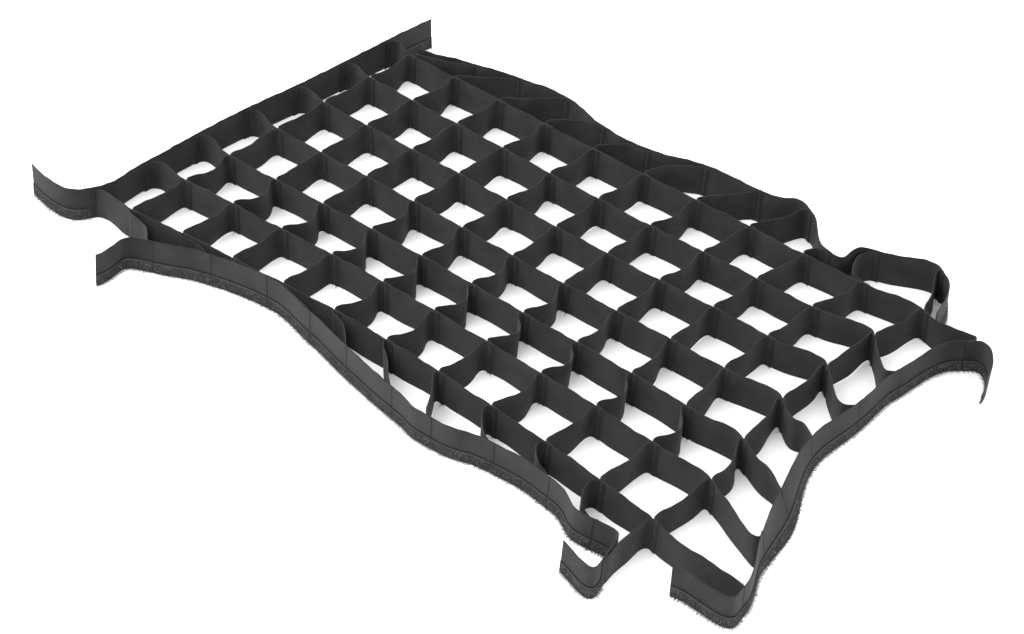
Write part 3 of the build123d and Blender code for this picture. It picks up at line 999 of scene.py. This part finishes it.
class GRID_OT_tails(bpy.types.Operator):
    """Makes the eight loose tails, which bend beside the last seams"""
    bl_idname = "grid.tails"
    bl_label = "Loose tails"

    def execute(self, context):
        for name in TAILS:
            line = stations(tail_route(name))
            pieces = border_length(name, line)
            place, along = tail_line(name)
            for piece in pieces:
                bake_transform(piece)
        return {"FINISHED"}


class GRID_OT_sewing(bpy.types.Operator):
    """Sews the crossings: two rows of stitches on each side, and their cut ends"""
    bl_idname = "grid.sewing"
    bl_label = "Sewing"

    def execute(self, context):
        kit, sew = context.scene.grid_webbing, context.scene.grid_sewing
        material = finish_named("polyester_thread", sewing_thread)
        row_off, face = sew.row / MM, 1.5 * kit.thick / MM
        for row in range(1, ROWS):
            places, ahead, at, marked = strip_line(row)
            line = places, ahead, at, marked[1:-1]
            cloth = Cloth()
            seam_rows(cloth, line, (-face, face), (-row_off, row_off), STRIP_LOW + 1.5,
                      STRIP_HIGH - 1.5, 0.0)
            loose_ends(cloth, line, face, [-row_off, row_off], [STRIP_LOW + 1, STRIP_HIGH - 1], 0.0,
                       sew.tips, 40 + row)
            piece = cloth.make(f"long_strip_{row}_sewing", material)
            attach(piece, "grid")
            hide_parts(f"long_strip_{row}_stitching")
        return {"FINISHED"}


FLOOR_REACH = 40.0
LAMP_SIZE, LAMP_PLACE, LAMP_TURN = (2.4, 1.6), (-0.4, -1.6, 2.4), (34, 0, -14)
CAMERA_PLACE, CAMERA_TURN = (1.2840, -1.5924, 1.5459), (52.049, -2.483, 40.453)
FOCAL_LENGTH, SENSOR_WIDTH = 79.15, 36.0


class GRID_OT_stage(bpy.types.Operator):
    """Sets up the white floor, the studio light and the camera"""
    bl_idname = "grid.stage"
    bl_label = "Stage"

    def execute(self, context):
        kit = context.scene.grid_stage
        mesh = bpy.data.meshes.new("floor")
        far = FLOOR_REACH
        mesh.from_pydata([(-far, -far, 0), (far, -far, 0), (far, far, 0), (-far, far, 0)], [],
                         [(0, 1, 2, 3)])
        mesh.materials.append(finish_named("white_background_paper", paper_floor))
        floor = bpy.data.objects.new("floor", mesh)
        context.collection.objects.link(floor)
        world = bpy.data.worlds.new("white_dome")
        world.use_nodes = True
        sky = world.node_tree.nodes["Background"]
        sky.inputs["Color"].default_value = (1, 1, 1, 1)
        sky.inputs["Strength"].default_value = kit.dome
        context.scene.world = world
        lamp = bpy.data.lights.new("overhead_softbox", "AREA")
        lamp.shape, lamp.energy = "RECTANGLE", kit.key
        lamp.size, lamp.size_y = LAMP_SIZE
        light = bpy.data.objects.new("overhead_softbox", lamp)
        light.location = LAMP_PLACE
        light.rotation_euler = [radians(angle) for angle in LAMP_TURN]
        context.collection.objects.link(light)
        lens = bpy.data.cameras.new("camera")
        lens.lens, lens.sensor_width = FOCAL_LENGTH, SENSOR_WIDTH
        lens.clip_start, lens.clip_end = 0.05, 200
        camera = bpy.data.objects.new("camera", lens)
        camera.location = CAMERA_PLACE
        camera.rotation_euler = [radians(angle) for angle in CAMERA_TURN]
        context.collection.objects.link(camera)
        context.scene.camera = camera
        context.scene.view_settings.view_transform = "Standard"
        return {"FINISHED"}


class GRID_PT_panel(bpy.types.Panel):
    """Sizes, colours and pieces of the grid"""
    bl_idname = "GRID_PT_panel"
    bl_label = "Fabric grid"
    bl_space_type = "VIEW_3D"
    bl_region_type = "UI"
    bl_category = "Grid"

    def draw(self, context):
        for group in (context.scene.grid_webbing, context.scene.grid_tape,
                      context.scene.grid_sewing, context.scene.grid_stage):
            box = self.layout.box()
            for name in group.bl_rna.properties.keys():
                if name not in ("name", "rna_type"):
                    box.prop(group, name)
        for operator in OPERATORS:
            self.layout.operator(operator.bl_idname)


GROUPS = {"grid_webbing": GRID_PG_webbing, "grid_tape": GRID_PG_tape,
          "grid_sewing": GRID_PG_sewing, "grid_stage": GRID_PG_stage}
OPERATORS = (GRID_OT_long_strips, GRID_OT_cross_webs, GRID_OT_bands, GRID_OT_tails,
             GRID_OT_sewing, GRID_OT_stage)


def register():
    """Registers the classes and hangs each property group on the scene."""
    for made in (*GROUPS.values(), *OPERATORS, GRID_PT_panel):
        bpy.utils.register_class(made)
    for name, group in GROUPS.items():
        setattr(bpy.types.Scene, name, PointerProperty(type=group))


def unregister():
    """Takes the property groups and the classes away again."""
    for name in GROUPS:
        delattr(bpy.types.Scene, name)
    for made in (GRID_PT_panel, *reversed(OPERATORS), *GROUPS.values()):
        bpy.utils.unregister_class(made)


def main():
    register()
    for operator in OPERATORS:
        group, name = operator.bl_idname.split(".")
        getattr(getattr(bpy.ops, group), name)()
    bpy.context.view_layer.update()


if __name__ == "__main__":
    main()
